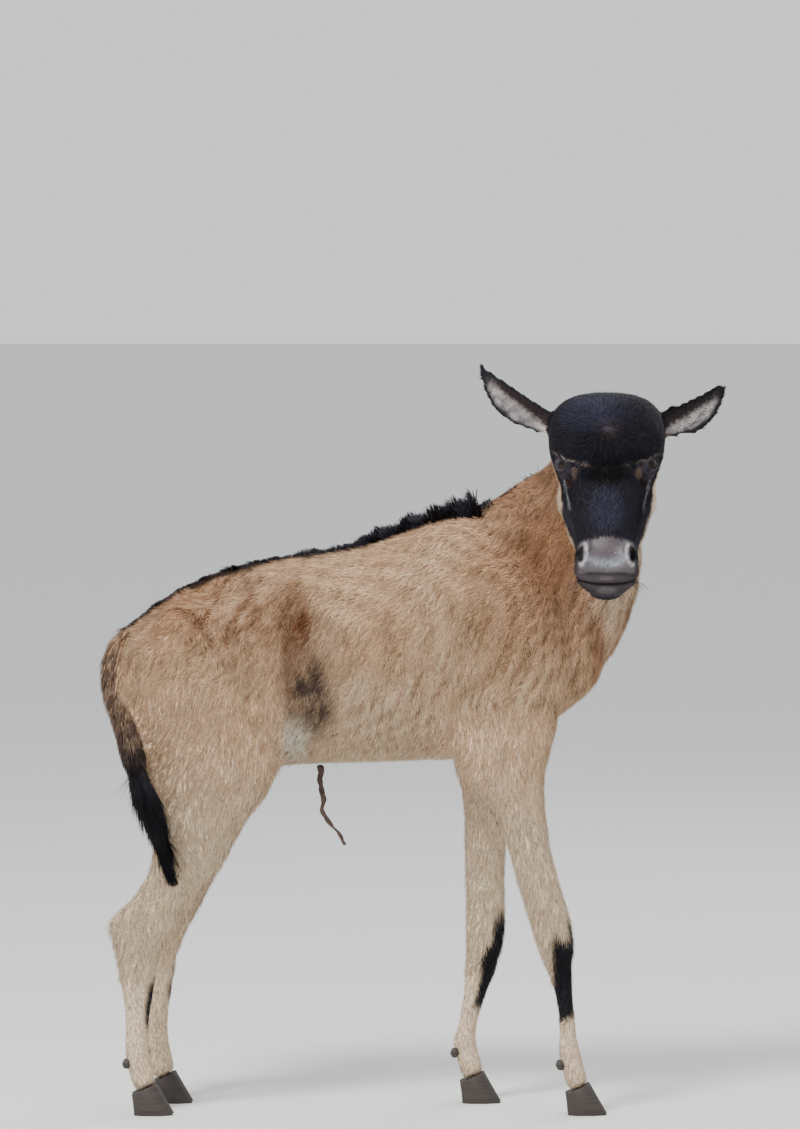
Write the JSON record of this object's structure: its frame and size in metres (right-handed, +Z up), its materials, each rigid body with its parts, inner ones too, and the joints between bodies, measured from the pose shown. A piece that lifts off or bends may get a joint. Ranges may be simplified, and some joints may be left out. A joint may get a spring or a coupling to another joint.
{
  "type": "wildebeest calf",
  "caption": "Standing newborn blue wildebeest with its head turned to its right, tan coat, black face, mane and tail.",
  "frame": {"origin": "on the floor, under the middle of the calf's bounding box", "axes": "+X the way the body faces, +Y the calf's left, +Z up; the head faces -Y"},
  "size_m": [0.7711, 0.3413, 0.9258],
  "materials": {
    "coat_tan": "short tan coat, lying flat",
    "coat_cream": "short pale coat",
    "coat_black": "black coat with a soft violet sheen",
    "coat_brown": "grizzled brown hair",
    "nose": "damp grey nose skin",
    "eye": "wet dark eye",
    "horn": "dark hoof horn",
    "navel_cord": "dried brown skin"
  },
  "bodies": {
    "root": {"ear_left": "coat_black", "ear_right": "coat_black", "eye_left": "eye", "eye_right": "eye", "foreleg_left_dewclaw_inner": "horn", "foreleg_left_dewclaw_outer": "horn", "foreleg_left_hoof_inner": "horn", "foreleg_left_hoof_outer": "horn", "foreleg_left_lower": "coat_cream", "foreleg_left_upper": "coat_tan", "foreleg_right_dewclaw_inner": "horn", "foreleg_right_dewclaw_outer": "horn", "foreleg_right_hoof_inner": "horn", "foreleg_right_hoof_outer": "horn", "foreleg_right_lower": "coat_cream", "foreleg_right_upper": "coat_tan", "head": "coat_black", "hindleg_left_dewclaw_inner": "horn", "hindleg_left_dewclaw_outer": "horn", "hindleg_left_hoof_inner": "horn", "hindleg_left_hoof_outer": "horn", "hindleg_left_lower": "coat_cream", "hindleg_left_upper": "coat_tan", "hindleg_right_dewclaw_inner": "horn", "hindleg_right_dewclaw_outer": "horn", "hindleg_right_hoof_inner": "horn", "hindleg_right_hoof_outer": "horn", "hindleg_right_lower": "coat_cream", "hindleg_right_upper": "coat_tan", "lower_jaw": "coat_black", "mane": "coat_black", "navel_cord": "navel_cord", "neck": "coat_tan", "nose_pad": "nose", "tail_dock": "coat_brown", "tail_tuft": "coat_black", "trunk": "coat_tan"}
  },
  "joints": []
}
